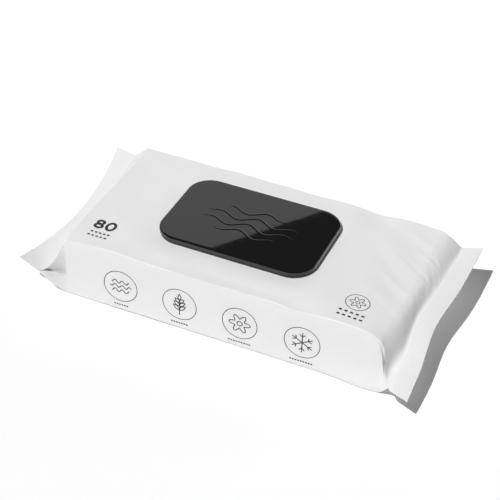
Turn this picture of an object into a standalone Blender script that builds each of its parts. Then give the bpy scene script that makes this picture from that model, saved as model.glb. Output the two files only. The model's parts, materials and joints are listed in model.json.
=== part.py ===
"""A sealed pack of wet wipes: a flow-wrapped film pack with a flip-top dispensing lid.

The film, folded round a stack of wipes and sealed at both ends, is one solid. On its top
lie the peel-off seal over the dispensing opening and the lid's frame, and the lid's
cover turns on a hinge along the frame's back edge. Metres, +Z up, +X along the pack,
-Y towards the front, and the origin under the middle of the whole pack.
"""
import math

import bpy
import bmesh
from mathutils import Vector

# the filled part of the pack
BODY_LENGTH = 0.182
BODY_DEPTH = 0.101
BODY_HEIGHT = 0.038
BODY_EDGE = 0.004            # radius of the long folded edges
CROWN = 0.0011               # how far the film rises to the lid's flat seat

# the end seals
LEFT_END = 0.031             # from the filled part to the cut edge, on the -X side
RIGHT_END = 0.024            # the same on the +X side
FIN_WIDTH = 0.011            # width of the crimped band
FIN_SPAN = 0.130             # length of the crimped band, along Y
FIN_THICKNESS = 0.0008
FIN_HEIGHT = 0.020           # height of the band over the table

# the lid
LID_LENGTH = 0.0914
LID_DEPTH = 0.0615
LID_RADIUS = 0.0137          # radius of the lid's corners
LID_TOP = 0.0434             # height of the cover's top face
TOP_WALL = 0.0011            # thickness of the cover's top
SKIRT_WALL = 0.0013          # thickness of the cover's skirt
TOP_EDGE = 0.0005            # rounding of the cover's upper edge
FLANGE = 0.0010              # thickness of the frame's flange
OVERHANG = 0.0005            # how far the cover stands over the flange all round
WINDOW_LENGTH = 0.062        # dispensing opening inside the frame
WINDOW_DEPTH = 0.034
WINDOW_RADIUS = 0.0120
COLLAR_WALL = 0.0012         # raised wall round the opening
RIB_WALL = 0.0010            # the cover's sealing rib outside the collar
RIB_DEPTH = 0.0013
LABEL_THICKNESS = 0.0002
TAB_LENGTH = 0.008           # pull tab of the peel-off seal
TAB_DEPTH = 0.014
TAB_RADIUS = 0.0035
GAP = 0.0003                 # clearance between pieces that touch

# heights and places that follow from them
TOTAL_LENGTH = BODY_LENGTH + LEFT_END + RIGHT_END
BODY_LEFT = LEFT_END - TOTAL_LENGTH / 2
BODY_RIGHT = BODY_LEFT + BODY_LENGTH
SEAT_Z = BODY_HEIGHT + CROWN
FRAME_Z = SEAT_Z + GAP
FLANGE_TOP = FRAME_Z + FLANGE
SKIRT_Z = FLANGE_TOP + GAP
CEILING_Z = LID_TOP - TOP_WALL
COLLAR_TOP = CEILING_Z - GAP
HINGE_Y = LID_DEPTH / 2
HINGE_Z = FLANGE_TOP + GAP / 2

CORNER_STEPS = 8             # straight pieces in a quarter turn of an outline


def clear_scene():
    """Remove every object, so that the script starts from nothing."""
    for item in list(bpy.data.objects):
        bpy.data.objects.remove(item, do_unlink=True)


def new_collection(name):
    """A collection of its own in the scene."""
    collection = bpy.data.collections.new(name)
    bpy.context.scene.collection.children.link(collection)
    return collection


def new_material(name, colour, roughness, metallic=0.0):
    """A Principled material with one colour."""
    material = bpy.data.materials.new(name)
    material.use_nodes = True
    shader = material.node_tree.nodes["Principled BSDF"]
    shader.inputs["Base Color"].default_value = (*colour, 1.0)
    shader.inputs["Roughness"].default_value = roughness
    shader.inputs["Metallic"].default_value = metallic
    return material


def finish_object(name, mesh, collection, material=None):
    """Put a mesh into the scene as a named, smooth-shaded object."""
    mesh.name = name
    mesh.shade_smooth()
    mesh.set_sharp_from_angle(angle=math.radians(35))
    if material is not None:
        mesh.materials.append(material)
    item = bpy.data.objects.new(name, mesh)
    collection.objects.link(item)
    return item


def make_cutter(item):
    """Show an object as a wire and keep it out of the build."""
    item.hide_render = True
    item.display_type = "WIRE"


def rounded_outline(corners):
    """The points of a polygon (x, y, radius), turned anticlockwise, with rounded corners."""
    points = []
    for index, (x, y, radius) in enumerate(corners):
        here = Vector((x, y))
        before = Vector(corners[index - 1][:2])
        after = Vector(corners[(index + 1) % len(corners)][:2])
        inward = (before - here).normalized()
        onward = (after - here).normalized()
        half_angle = inward.angle(onward) / 2
        bisector = (inward + onward).normalized()
        centre = here + bisector * (radius / math.sin(half_angle))
        first = here + inward * (radius / math.tan(half_angle)) - centre
        turn = math.pi - 2 * half_angle
        if inward.x * onward.y - inward.y * onward.x > 0:
            turn = -turn
        for step in range(CORNER_STEPS + 1):
            angle = turn * step / CORNER_STEPS
            spoke = Vector((first.x * math.cos(angle) - first.y * math.sin(angle),
                            first.x * math.sin(angle) + first.y * math.cos(angle)))
            points.append(centre + spoke)
    return points


def rounded_rectangle(length, depth, radius):
    """The outline of a rectangle about the origin, with equal rounded corners."""
    x = length / 2
    y = depth / 2
    corners = [(x, -y, radius), (x, y, radius), (-x, y, radius), (-x, -y, radius)]
    return rounded_outline(corners)


def plate_mesh(name, outlines, low, high):
    """A flat plate between two heights: the first outline, less the others, as a mesh."""
    curve = bpy.data.curves.new(name, "CURVE")
    curve.dimensions = "2D"
    curve.fill_mode = "BOTH"
    curve.extrude = (high - low) / 2
    for points in outlines:
        spline = curve.splines.new("POLY")
        spline.points.add(len(points) - 1)
        for place, point in zip(spline.points, points):
            place.co = (point.x, point.y, 0.0, 1.0)
        spline.use_cyclic_u = True
    item = bpy.data.objects.new(name, curve)
    bpy.context.scene.collection.objects.link(item)
    bpy.context.view_layer.update()
    graph = bpy.context.evaluated_depsgraph_get()
    mesh = bpy.data.meshes.new_from_object(item.evaluated_get(graph))
    bpy.data.objects.remove(item, do_unlink=True)
    bpy.data.curves.remove(curve)

    solid = bmesh.new()
    solid.from_mesh(mesh)
    bmesh.ops.remove_doubles(solid, verts=solid.verts, dist=0.00001)
    bmesh.ops.translate(solid, verts=solid.verts, vec=(0.0, 0.0, (low + high) / 2))
    bmesh.ops.recalc_face_normals(solid, faces=solid.faces)
    solid.to_mesh(mesh)
    solid.free()
    return mesh


def mark_top_edge(mesh, height):
    """Give the edges that lie at one height their full bevel weight."""
    weights = mesh.attributes.new("bevel_weight_edge", "FLOAT", "EDGE")
    for edge in mesh.edges:
        at_top = all(abs(mesh.vertices[index].co.z - height) < GAP / 10
                     for index in edge.vertices)
        weights.data[edge.index].value = 1.0 if at_top else 0.0


def add_boolean(item, other, operation):
    """Join or cut an object with another one."""
    modifier = item.modifiers.new(operation.lower() + "_" + other.name, "BOOLEAN")
    modifier.operation = operation
    modifier.solver = "EXACT"
    modifier.object = other


def smooth_step(value):
    """0 below 0, 1 above 1, and an even S between them."""
    value = min(max(value, 0.0), 1.0)
    return value * value * (3 - 2 * value)


def top_height(x, y):
    """The film's top over the filled part: level, and raised to a flat seat under the lid."""
    margin = 0.002
    run_x = (BODY_RIGHT - LID_LENGTH / 2 - margin) * 0.6
    run_y = BODY_DEPTH / 2 - BODY_EDGE - LID_DEPTH / 2 - margin
    fall_x = (abs(x) - LID_LENGTH / 2 - margin) / run_x
    fall_y = (abs(y) - LID_DEPTH / 2 - margin) / run_y
    return CROWN * (1 - smooth_step(fall_x)) * (1 - smooth_step(fall_y))


def film_ring(x, half_span, half_height, middle, radius, crowned):
    """One section of the film across X: a rounded rectangle, its top raised by the crown."""
    corners = [(half_span, middle - half_height, radius), (half_span, middle + half_height, radius),
               (-half_span, middle + half_height, radius), (-half_span, middle - half_height, radius)]
    top_steps = 16
    flat = half_span - radius
    arc = rounded_outline(corners)
    size = CORNER_STEPS + 1
    right_side = arc[:2 * size]
    left_side = arc[2 * size:]
    ring = [Vector((x, point.x, point.y)) for point in right_side]
    for step in range(1, top_steps):
        y = flat - 2 * flat * step / top_steps
        lift = top_height(x, y) if crowned else 0.0
        ring.append(Vector((x, y, middle + half_height + lift)))
    ring += [Vector((x, point.x, point.y)) for point in left_side]
    return ring


def film_sections():
    """The film's sections from its left cut edge to its right one."""
    half_depth = BODY_DEPTH / 2
    half_span = FIN_SPAN / 2
    thin = FIN_THICKNESS / 2
    neck_steps = 6
    body_steps = 26

    def neck(share, x):
        """A section of the sloping end: share 0 at the seal, 1 at the filled part."""
        rise = math.sin(share * math.pi / 2)
        half_height = thin + (BODY_HEIGHT / 2 - thin) * rise
        middle = FIN_HEIGHT + (BODY_HEIGHT / 2 - FIN_HEIGHT) * rise
        span = half_span + (half_depth - half_span) * share
        radius = 0.9 * thin + (BODY_EDGE - 0.9 * thin) * share
        return film_ring(x, span, half_height, middle, radius, False)

    rings = [neck(0.0, -TOTAL_LENGTH / 2)]
    for step in range(neck_steps):
        share = step / neck_steps
        x = -TOTAL_LENGTH / 2 + FIN_WIDTH + (LEFT_END - FIN_WIDTH) * share
        rings.append(neck(share, x))
    for step in range(body_steps + 1):
        x = BODY_LEFT + BODY_LENGTH * step / body_steps
        rings.append(film_ring(x, half_depth, BODY_HEIGHT / 2, BODY_HEIGHT / 2, BODY_EDGE, True))
    for step in reversed(range(neck_steps)):
        share = step / neck_steps
        x = TOTAL_LENGTH / 2 - FIN_WIDTH - (RIGHT_END - FIN_WIDTH) * share
        rings.append(neck(share, x))
    rings.append(neck(0.0, TOTAL_LENGTH / 2))
    return rings


def make_film_pack(collection, material):
    """The printed film and the wipes inside it: a loft from a flat seal to a full box."""
    solid = bmesh.new()
    rings = [[solid.verts.new(point) for point in ring] for ring in film_sections()]
    count = len(rings[0])
    for first, second in zip(rings, rings[1:]):
        for index in range(count):
            after = (index + 1) % count
            solid.faces.new((first[index], second[index], second[after], first[after]))
    solid.faces.new(rings[0])
    solid.faces.new(list(reversed(rings[-1])))
    bmesh.ops.recalc_face_normals(solid, faces=solid.faces)
    mesh = bpy.data.meshes.new("film_pack")
    solid.to_mesh(mesh)
    solid.free()
    return finish_object("film_pack", mesh, collection, material)


def make_peel_seal(collection, material):
    """The adhesive label over the dispensing opening, with a pull tab at its right end."""
    right = WINDOW_LENGTH / 2 - GAP
    left = -right
    shoulder = right - TAB_LENGTH
    half = WINDOW_DEPTH / 2 - GAP
    tab = TAB_DEPTH / 2
    corners = [(left, -half, WINDOW_RADIUS - GAP), (shoulder, -half, TAB_RADIUS),
               (shoulder, -tab, TAB_RADIUS), (right, -tab, TAB_RADIUS),
               (right, tab, TAB_RADIUS), (shoulder, tab, TAB_RADIUS),
               (shoulder, half, TAB_RADIUS), (left, half, WINDOW_RADIUS - GAP)]
    outline = rounded_outline(corners)
    mesh = plate_mesh("peel_seal", [outline], FRAME_Z, FRAME_Z + LABEL_THICKNESS)
    return finish_object("peel_seal", mesh, collection, material)


def make_lid_frame(collection, cutters, material):
    """The frame glued to the film: a flat flange and a raised collar round the opening."""
    length = LID_LENGTH - 2 * OVERHANG
    depth = LID_DEPTH - 2 * OVERHANG
    outer = rounded_rectangle(length, depth, LID_RADIUS - OVERHANG)
    window = rounded_rectangle(WINDOW_LENGTH, WINDOW_DEPTH, WINDOW_RADIUS)
    seat = rounded_rectangle(WINDOW_LENGTH + COLLAR_WALL, WINDOW_DEPTH + COLLAR_WALL,
                             WINDOW_RADIUS + COLLAR_WALL / 2)
    rim = rounded_rectangle(WINDOW_LENGTH + 2 * COLLAR_WALL, WINDOW_DEPTH + 2 * COLLAR_WALL,
                            WINDOW_RADIUS + COLLAR_WALL)
    flange_mesh = plate_mesh("lid_frame", [outer, seat], FRAME_Z, FLANGE_TOP)
    frame = finish_object("lid_frame", flange_mesh, collection, material)
    collar_mesh = plate_mesh("frame_collar", [rim, window], FRAME_Z + GAP / 3, COLLAR_TOP)
    collar = finish_object("frame_collar", collar_mesh, cutters)
    make_cutter(collar)
    add_boolean(frame, collar, "UNION")
    return frame


def make_lid_cover(collection, cutters, material, hinge):
    """The flip-top cover: a shallow tray with a sealing rib, turning on the hinge empty."""
    outer = rounded_rectangle(LID_LENGTH, LID_DEPTH, LID_RADIUS)
    inner = rounded_rectangle(LID_LENGTH - 2 * SKIRT_WALL, LID_DEPTH - 2 * SKIRT_WALL,
                              LID_RADIUS - SKIRT_WALL)
    offset = COLLAR_WALL + GAP
    rib_inner = rounded_rectangle(WINDOW_LENGTH + 2 * offset, WINDOW_DEPTH + 2 * offset,
                                  WINDOW_RADIUS + offset)
    offset += RIB_WALL
    rib_outer = rounded_rectangle(WINDOW_LENGTH + 2 * offset, WINDOW_DEPTH + 2 * offset,
                                  WINDOW_RADIUS + offset)

    cover_mesh = plate_mesh("lid_cover", [outer], SKIRT_Z, LID_TOP)
    mark_top_edge(cover_mesh, LID_TOP)
    hollow_mesh = plate_mesh("cover_hollow", [inner], SKIRT_Z - GAP, CEILING_Z)
    rib_mesh = plate_mesh("cover_rib", [rib_outer, rib_inner], CEILING_Z - RIB_DEPTH,
                          CEILING_Z + TOP_WALL / 2)

    cover = finish_object("lid_cover", cover_mesh, collection, material)
    hollow = finish_object("cover_hollow", hollow_mesh, cutters)
    rib = finish_object("cover_rib", rib_mesh, cutters)
    for item in (cover, hollow, rib):
        item.data.transform(hinge.matrix_world.inverted())
        item.parent = hinge
    make_cutter(hollow)
    make_cutter(rib)

    edge = cover.modifiers.new("upper_edge", "BEVEL")
    edge.limit_method = "WEIGHT"
    edge.width = TOP_EDGE
    edge.segments = 3
    add_boolean(cover, hollow, "DIFFERENCE")
    add_boolean(cover, rib, "UNION")
    return cover


def make_hinge():
    """An empty on the hinge's axis, along the cover's lower back edge."""
    hinge = bpy.data.objects.new("lid_hinge", None)
    hinge.location = (0.0, HINGE_Y, HINGE_Z)
    bpy.context.scene.collection.objects.link(hinge)
    bpy.context.view_layer.update()
    return hinge


def main():
    """Build the four pieces of the pack."""
    clear_scene()
    pack = new_collection("wet_wipes_pack")
    cutters = new_collection("cutters")
    film = new_material("printed_film", (0.79, 0.79, 0.80), 0.55)
    label = new_material("peel_label", (0.72, 0.73, 0.75), 0.40)
    plastic = new_material("black_polypropylene", (0.010, 0.010, 0.012), 0.16)

    make_film_pack(pack, film)
    make_peel_seal(pack, label)
    make_lid_frame(pack, cutters, plastic)
    make_lid_cover(pack, cutters, plastic, make_hinge())


main()
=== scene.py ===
"""The looks of a wet wipes pack: matt printed film, crimped seals and a glossy flip-top lid.

Lengths inside the script are in millimetres in the pack's own frame (+X along the pack,
-Y towards its printed front, +Z up) and become metres when a mesh is made.
"""
import json
import math

import bmesh
import bpy
import numpy as np
from bpy.props import FloatProperty, FloatVectorProperty, IntProperty, PointerProperty
from mathutils import Matrix, Vector

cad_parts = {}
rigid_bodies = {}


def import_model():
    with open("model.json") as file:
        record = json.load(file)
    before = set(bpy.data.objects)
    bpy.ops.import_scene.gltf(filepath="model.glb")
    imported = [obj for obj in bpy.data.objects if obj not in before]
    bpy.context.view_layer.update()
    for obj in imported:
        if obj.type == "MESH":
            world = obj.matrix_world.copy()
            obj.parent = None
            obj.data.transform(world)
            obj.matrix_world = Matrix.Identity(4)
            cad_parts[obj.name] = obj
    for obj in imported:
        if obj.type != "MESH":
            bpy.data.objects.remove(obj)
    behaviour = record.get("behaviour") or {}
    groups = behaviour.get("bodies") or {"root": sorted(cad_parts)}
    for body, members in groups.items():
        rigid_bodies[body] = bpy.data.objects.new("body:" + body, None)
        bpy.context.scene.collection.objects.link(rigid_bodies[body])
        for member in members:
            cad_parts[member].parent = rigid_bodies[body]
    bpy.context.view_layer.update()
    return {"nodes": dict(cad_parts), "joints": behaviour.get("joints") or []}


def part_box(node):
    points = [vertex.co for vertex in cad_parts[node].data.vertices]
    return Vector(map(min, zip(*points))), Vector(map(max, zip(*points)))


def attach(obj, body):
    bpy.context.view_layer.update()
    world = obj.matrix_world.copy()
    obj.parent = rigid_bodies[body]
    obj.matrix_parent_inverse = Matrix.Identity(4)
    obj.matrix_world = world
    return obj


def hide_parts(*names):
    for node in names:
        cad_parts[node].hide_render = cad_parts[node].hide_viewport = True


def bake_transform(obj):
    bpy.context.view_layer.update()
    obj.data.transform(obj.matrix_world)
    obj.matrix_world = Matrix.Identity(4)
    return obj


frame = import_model()

bl_info = {
    "name": "Wet Wipes Pack",
    "version": (1, 0, 0),
    "blender": (4, 5, 0),
    "location": "3D View > Sidebar > Wipes Pack",
    "description": "Builds the film, seals, print and flip-top lid of a pack of wet wipes",
    "category": "Add Mesh",
}

MM = 0.001


def box_mm(node):
    """The lowest and highest corners of a framed node, in millimetres."""
    low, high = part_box(node)
    return np.array(low) / MM, np.array(high) / MM


FILM_LOW, FILM_HIGH = box_mm("film_pack")
COVER_LOW, COVER_HIGH = box_mm("lid_cover")
FRAME_LOW, FRAME_HIGH = box_mm("lid_frame")
LABEL_TOP = box_mm("peel_seal")[1][2]

# the filled part of the pack
LEFT_END = 31.0                              # from the filled part to the left cut edge
RIGHT_END = 24.0
BODY_LEFT = FILM_LOW[0] + LEFT_END
BODY_RIGHT = FILM_HIGH[0] - RIGHT_END
DEPTH = 101.0
HEIGHT = 38.0
EDGE = 0.55                                  # radius of the long folded edges
FLAT = DEPTH / 2 - EDGE
HALF_LAP = FLAT + EDGE * math.pi / 2 + HEIGHT / 2 - EDGE
SEAT_RISE = FRAME_LOW[2] - 0.02 - HEIGHT     # the film is glued up to the frame

# the lid
LID_LENGTH = COVER_HIGH[0] - COVER_LOW[0]
LID_DEPTH = COVER_HIGH[1] - COVER_LOW[1]
LID_RADIUS = 13.7
WINDOW = (62.0, 34.0, 12.0)                  # length, depth and corner radius
COLLAR_WALL = 1.2
WALL_PAINTED_REFLECTION = 7.0                              # painted reflection: how much lighter the upright lid walls' colour is than the top's, standing in for the bright table they mirror
HINGE = np.array(frame["joints"][0]["pos_m"]) / MM


# ---------------------------------------------------------------- shared helpers

def linear(hex_code, alpha=1.0):
    """The linear colour of an sRGB hex code such as 'dedfe1'."""
    values = [int(hex_code[i:i + 2], 16) / 255 for i in (0, 2, 4)]
    values = [v / 12.92 if v <= 0.04045 else ((v + 0.055) / 1.055) ** 2.4 for v in values]
    return (*values, alpha)


def add_node(tree, kind, settings=None, inputs=None):
    """Add a shader node with its settings, and set or link its inputs by name."""
    node = tree.nodes.new(kind)
    for name, value in (settings or {}).items():
        setattr(node, name, value)
    for name, value in (inputs or {}).items():
        if isinstance(value, bpy.types.NodeSocket):
            tree.links.new(value, node.inputs[name])
        else:
            node.inputs[name].default_value = value
    return node


def new_material(name):
    """An empty node material and its tree."""
    material = bpy.data.materials.new(name)
    material.use_nodes = True
    material.node_tree.nodes.clear()
    return material, material.node_tree


def close_material(tree, shader):
    """Link a shader to the material's output."""
    add_node(tree, "ShaderNodeOutputMaterial", inputs={"Surface": shader.outputs[0]})


def smooth_step(value):
    """0 below 0, 1 above 1, and an even S between them."""
    value = np.clip(value, 0.0, 1.0)
    return value * value * (3 - 2 * value)


def make_object(name, points, faces, material, body, sharp=None):
    """A mesh object at the origin from millimetre points, riding on a body if one is named."""
    mesh = bpy.data.meshes.new(name)
    mesh.from_pydata((np.asarray(points) * MM).tolist(), [], faces)
    mesh.update()
    mesh.shade_smooth()
    if sharp is not None:
        mesh.set_sharp_from_angle(angle=math.radians(sharp))
    mesh.materials.append(material)
    piece = bpy.data.objects.new(name, mesh)
    bpy.context.scene.collection.objects.link(piece)
    if body:
        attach(piece, body)
    return piece


def face_outwards(piece):
    """Turn every face of a closed piece outwards."""
    solid = bmesh.new()
    solid.from_mesh(piece.data)
    bmesh.ops.recalc_face_normals(solid, faces=solid.faces)
    solid.to_mesh(piece.data)
    solid.free()


def grid_faces(rows, columns, closed_rows=False, closed_columns=False):
    """Quads over a grid of points stored row by row; a closed direction wraps round."""
    last_row = rows if closed_rows else rows - 1
    last_column = columns if closed_columns else columns - 1
    i, j = np.meshgrid(np.arange(last_row), np.arange(last_column), indexing="ij")
    i2 = (i + 1) % rows
    j2 = (j + 1) % columns
    quads = np.stack([i * columns + j, i2 * columns + j, i2 * columns + j2, i * columns + j2], -1)
    return quads.reshape(-1, 4).tolist()


# ---------------------------------------------------------------- film surface

def section(share, layer):
    """The filled part's section: y, z and outward normal at a share of the half lap.

    The film's length from the middle line is share times HALF_LAP. It first runs level,
    then round a quarter circle of radius EDGE, then straight down to half height. Layer
    1 is the upper half and -1 the lower half.
    """
    reach = np.abs(share) * HALF_LAP
    arc = np.clip((reach - FLAT) / EDGE, 0.0, math.pi / 2)
    drop = np.clip(reach - FLAT - EDGE * math.pi / 2, 0.0, None)
    side = np.sign(share)
    y = side * (np.minimum(reach, FLAT) + EDGE * np.sin(arc))
    z = HEIGHT / 2 + layer * (HEIGHT / 2 - EDGE * (1 - np.cos(arc)) - drop)
    return y, z, side * np.sin(arc), layer * np.cos(arc)


def fold(x, s, start, end, width, height):
    """A soft crease along a straight line of the unrolled film, fading at both ends.

    The height falls as exp(-(distance / width)^2) across the line, and as the sine of
    the share along it.
    """
    ax, ay = start
    bx, by = end
    dx, dy = bx - ax, by - ay
    length = math.hypot(dx, dy)
    along = ((x - ax) * dx + (s - ay) * dy) / length ** 2
    across = ((x - ax) * dy - (s - ay) * dx) / length
    fade = np.sin(math.pi * np.clip(along, 0.0, 1.0))
    return height * np.exp(-(across / width) ** 2) * fade


# creases of the upper film: start, end, width and height, in millimetres of film
TOP_FOLDS = (
    ((50, 50), (97, 24), 6.0, -0.5),
    ((62, 30), (99, 4), 4.0, 0.36),
    ((66, 18), (99, -10), 3.0, -0.36),
    ((72, 44), (99, 32), 3.0, 0.4),
    ((64, -8), (99, -30), 4.0, 0.3),
    ((76, -4), (99, -20), 2.4, -0.3),
    ((70, 4), (103, -14), 1.5, 0.26),
    ((78, 22), (104, 4), 1.4, -0.26),
    ((82, 32), (104, 18), 1.3, 0.22),
    ((74, -18), (100, -34), 1.6, -0.22),
    ((-50, 20), (-88, 34), 5.0, -0.35),
    ((-52, -30), (-88, -12), 5.0, 0.3),
    ((-20, -44), (40, -47), 3.0, -0.25),
)


# hollows of the upper folds: place along X, length, width, depth and side
EDGE_SAGS = (
    (61.0, 9.0, 13.0, 1.5, 1),
    (96.0, 9.0, 16.0, 1.2, 1),
    (20.0, 26.0, 8.0, 0.3, 1),
    (99.0, 7.0, 10.0, 6.0, -1),
    (-88.0, 6.0, 9.0, 0.8, -1),
    (49.0, 11.0, 7.0, 1.1, -1),
    (-33.0, 12.0, 6.0, 0.5, -1),
    (-62.0, 12.0, 6.0, -0.6, -1),
    (5.0, 9.0, 4.0, 0.25, -1),
)


LID_MARGIN = 2.0                             # the film lies level this far past the lid
DROOP = 3.0                                  # how far the top sinks towards its right end
DROOP_START = 68.0
BOTTOM_LIFT = 2.3                            # how far the bottom's long edges curl up
SEAM_HALF = 6.5                              # half the width of the lapped seam underneath
SEAM_STEP = 0.3


def film_rise(x, share, layer):
    """How far the film stands out of the plain section, along the section's normal.

    Top: a level seat under the lid with smooth slopes, long shallow waves and soft
    creases, less the droop towards the right end. Sides: a slight fullness. Bottom: flat
    in its middle with the lapped seam along it, and its long edges curl up.
    """
    s = share * HALF_LAP
    past_x = np.abs(x) - LID_LENGTH / 2
    past_y = np.abs(s) - LID_DEPTH / 2
    slope_x = (BODY_RIGHT - LID_LENGTH / 2 - LID_MARGIN) * 0.6
    slope_y = FLAT - LID_DEPTH / 2 - LID_MARGIN
    seat = ((1 - smooth_step((past_x - LID_MARGIN) / slope_x))
            * (1 - smooth_step((past_y - LID_MARGIN) / slope_y)))
    open_top = smooth_step((np.maximum(past_x, past_y) - 1) / 8)
    inward = 1 - np.clip(np.abs(s / FLAT), 0, 1) ** 3
    droop = DROOP * smooth_step((x - DROOP_START) / 30) * inward
    top = SEAT_RISE * seat - droop
    waves = (0.22 * np.sin(x / 17 + s / 23 + 0.6) + 0.16 * np.sin(x / 9.5 - s / 12 + 2.1)
             + 0.08 * np.sin(x / 4.7 + s / 7.9))
    waves = waves * open_top
    for start, end, width, height in TOP_FOLDS:
        waves = waves + open_top * fold(x, s, start, end, width, height)
    crest = 0.14 * np.sin(x / 5.3 + 1.0) * np.exp(-((np.abs(s) - FLAT) / 3.5) ** 2)
    side_share = smooth_step((np.abs(s) - FLAT - EDGE) / 6)
    fullness = side_share * (0.5 + 0.18 * np.sin(x / 13 + 0.4) + 0.08 * np.sin(x / 5.1))
    level = 1 - smooth_step((np.abs(s) - FLAT) / EDGE)
    upper = (top + waves) * level + crest + fullness
    seam = SEAM_STEP * smooth_step((SEAM_HALF - np.abs(s)) / 0.5)
    lifted_edge = smooth_step((np.abs(s) - 36) / 13)
    lower = fullness + (seam - SEAM_STEP - BOTTOM_LIFT * lifted_edge) * level
    return np.where(layer > 0, upper, lower)


def film_sag(x, share, layer):
    """How far the film sinks under its upper folds, where the wipes are packed less full.

    Each hollow is a bell along X times a bell across the fold.
    """
    s = share * HALF_LAP
    depth = 0 * s
    for place, length, width, amount, hand in EDGE_SAGS:
        across = np.exp(-((hand * s - FLAT) / width) ** 2)
        depth = depth + amount * np.exp(-((x - place) / length) ** 2) * across
    return np.where(layer > 0, depth, 0.0)


FOOT_PLACE = 88.0                            # place along X of the front's bulging foot
FOOT_BULGE = 2.0


def film_body(x, share, layer):
    """A point of the filled part: the section pushed out along its normal.

    Near the right end the foot of the front bulges out, as a bell in both directions.
    """
    y, z, normal_y, normal_z = section(share, layer)
    rise = film_rise(x, share, layer)
    z = z - film_sag(x, share, layer)
    bell = np.exp(-((x - FOOT_PLACE) / 13) ** 2 - ((share * HALF_LAP + CREASE) / 9) ** 2)
    y = y - FOOT_BULGE * bell * (layer < 0)
    return np.stack([x + 0 * y, y + rise * normal_y, z + rise * normal_z], -1)


def seal_lines(side, share):
    """The crimped band's inner and outer lines, as points at a share from front (-1) to back (1).

    Each coordinate is a short polynomial of the share, so the bands sag and turn as a
    soft film does. The right band has one shallow pull near its middle.
    """
    zero = 0 * share
    if side < 0:
        inner = (-99.5 - 0.1 * share - 4.4 * share ** 2, 2 + 57 * share,
                 17.5 + 5 * share + 1.5 * share ** 2)
        outer = (-110.7 - 0.7 * share - 5.1 * share ** 2, 4.5 + 59 * share,
                 14 + 1.75 * share + 6.75 * share ** 2)
    else:
        pull = 3.4 * np.exp(-((share + 0.18) / 0.38) ** 2)
        inner = (106.0 + 1.0 * share - 0.9 * pull, -1.2 + 60 * share,
                 24.5 + 5 * share - 6.5 * share ** 2)
        outer = (116.7 + 0.9 * share - pull, -3 + 64 * share,
                 23.4 + 5 * share - 3.4 * share ** 2)
    return np.stack([c + zero for c in inner], -1), np.stack([c + zero for c in outer], -1)


def unit(vectors):
    """Vectors of length one along the last axis."""
    return vectors / np.linalg.norm(vectors, axis=-1, keepdims=True)


SEAL_FOLDS = (11.0, 19.0, 27.0)              # lower fold, valley and upper fold at a seal


class Corner:
    """How the side panel folds in beside a seal, in millimetres of film height.

    At the filled part the panel stands straight, and its lower fold and valley start at
    the heights in `start`. At the seal the lower fold, the valley and the upper fold lie
    at the heights in SEAL_FOLDS: the two outer folds at the band's tip, and the valley
    `tuck` (a share of the band) inside it. `crease` is where the bottom and top creases
    meet the band. `upper`, `lower` and `bottom` shape the folds' curves: the handle each
    leaves with, how far that handle falls, the handle it arrives with, and how far that
    one is shifted inwards. `push` is how far the valley is pressed in near the filled
    part and near the seal (less than 0 lets it stand out), and how far it sinks.
    """

    def __init__(self, start, tuck, crease, upper, lower, bottom, push):
        self.start = (0.0, *start, HEIGHT - 1.0, HEIGHT)
        self.finish = (0.0, *SEAL_FOLDS, HEIGHT)
        self.tuck = tuck
        self.crease = crease
        self.upper = upper
        self.lower = lower
        self.bottom = bottom
        self.push = push


CORNERS = {                                  # (end, side): -1 is left and front, 1 right and back
    (-1, -1): Corner(start=(11.5, 13.0), tuck=0.12, crease=(0.985, 0.84),
                     upper=(3.0, 2.0, 8.0, 5.0), lower=(0.5, -2.0, 5.0, -1.0),
                     bottom=(7.0, 0.0, 2.0, -2.5), push=(12.0, -5.0, 13.0)),
    (-1, 1): Corner(start=(11.0, 29.0), tuck=0.16, crease=(0.95, 0.84),
                    upper=(5.0, 0.0, 7.0, 0.0), lower=(3.0, 0.0, 3.0, 0.0),
                    bottom=(6.0, 0.0, 3.0, 0.0), push=(3.2, 4.0, 2.0)),
    (1, -1): Corner(start=(34.6, 35.8), tuck=0.12, crease=(0.97, 0.86),
                    upper=(6.0, 6.0, 9.0, 5.0), lower=(3.0, 11.0, 9.0, 5.5),
                    bottom=(6.0, 0.0, 3.0, 1.5), push=(1.0, 1.2, 0.0)),
    (1, 1): Corner(start=(14.0, 26.0), tuck=0.16, crease=(0.95, 0.84),
                   upper=(8.0, 0.0, 2.5, 0.0), lower=(4.0, 0.0, 3.0, 0.0),
                   bottom=(5.0, 0.0, 3.0, 0.0), push=(3.2, 4.0, 2.0)),
}
CREASE = FLAT + EDGE * math.pi / 4           # film length from the middle line to a long fold


def bezier(start, first, second, finish, run):
    """A cubic Bezier curve through two ends with two handles."""
    t = run[..., None]
    return ((1 - t) ** 3 * start + 3 * t * (1 - t) ** 2 * first
            + 3 * t ** 2 * (1 - t) * second + t ** 3 * finish)


def neck_curve(side, run, share, layer, place, lift, handles, inward):
    """A curve from the filled part's end to a place on the seal, pressed inwards.

    It leaves along the filled part's own slope.
    """
    leave, fall, arrive, shift = handles
    inner, outer = seal_lines(side, place)
    direction = unit(outer - inner)
    finish = inner + np.stack([0 * lift, 0 * lift, lift], -1)
    end = np.full_like(share, BODY_LEFT if side < 0 else BODY_RIGHT)
    start = film_body(end, share, layer)
    slope = 2 * (start - film_body(end - 0.5 * side, share, layer))
    first = start + slope * leave[..., None]
    first[..., 1] += inward[0]
    first[..., 2] -= fall
    second = finish - direction * arrive[..., None]
    second[..., 1] += inward[1] - np.sign(place) * shift
    return bezier(start, first, second, finish, run)


def film_height(share, layer):
    """The height on the side panel that a place round the lap has, 0 or full on the others."""
    beyond = np.clip(np.abs(share) * HALF_LAP - CREASE, 0.0, None)
    beyond = beyond * (HEIGHT / 2) / (HALF_LAP - CREASE)
    return np.where(layer > 0, HEIGHT - beyond, beyond)


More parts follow.
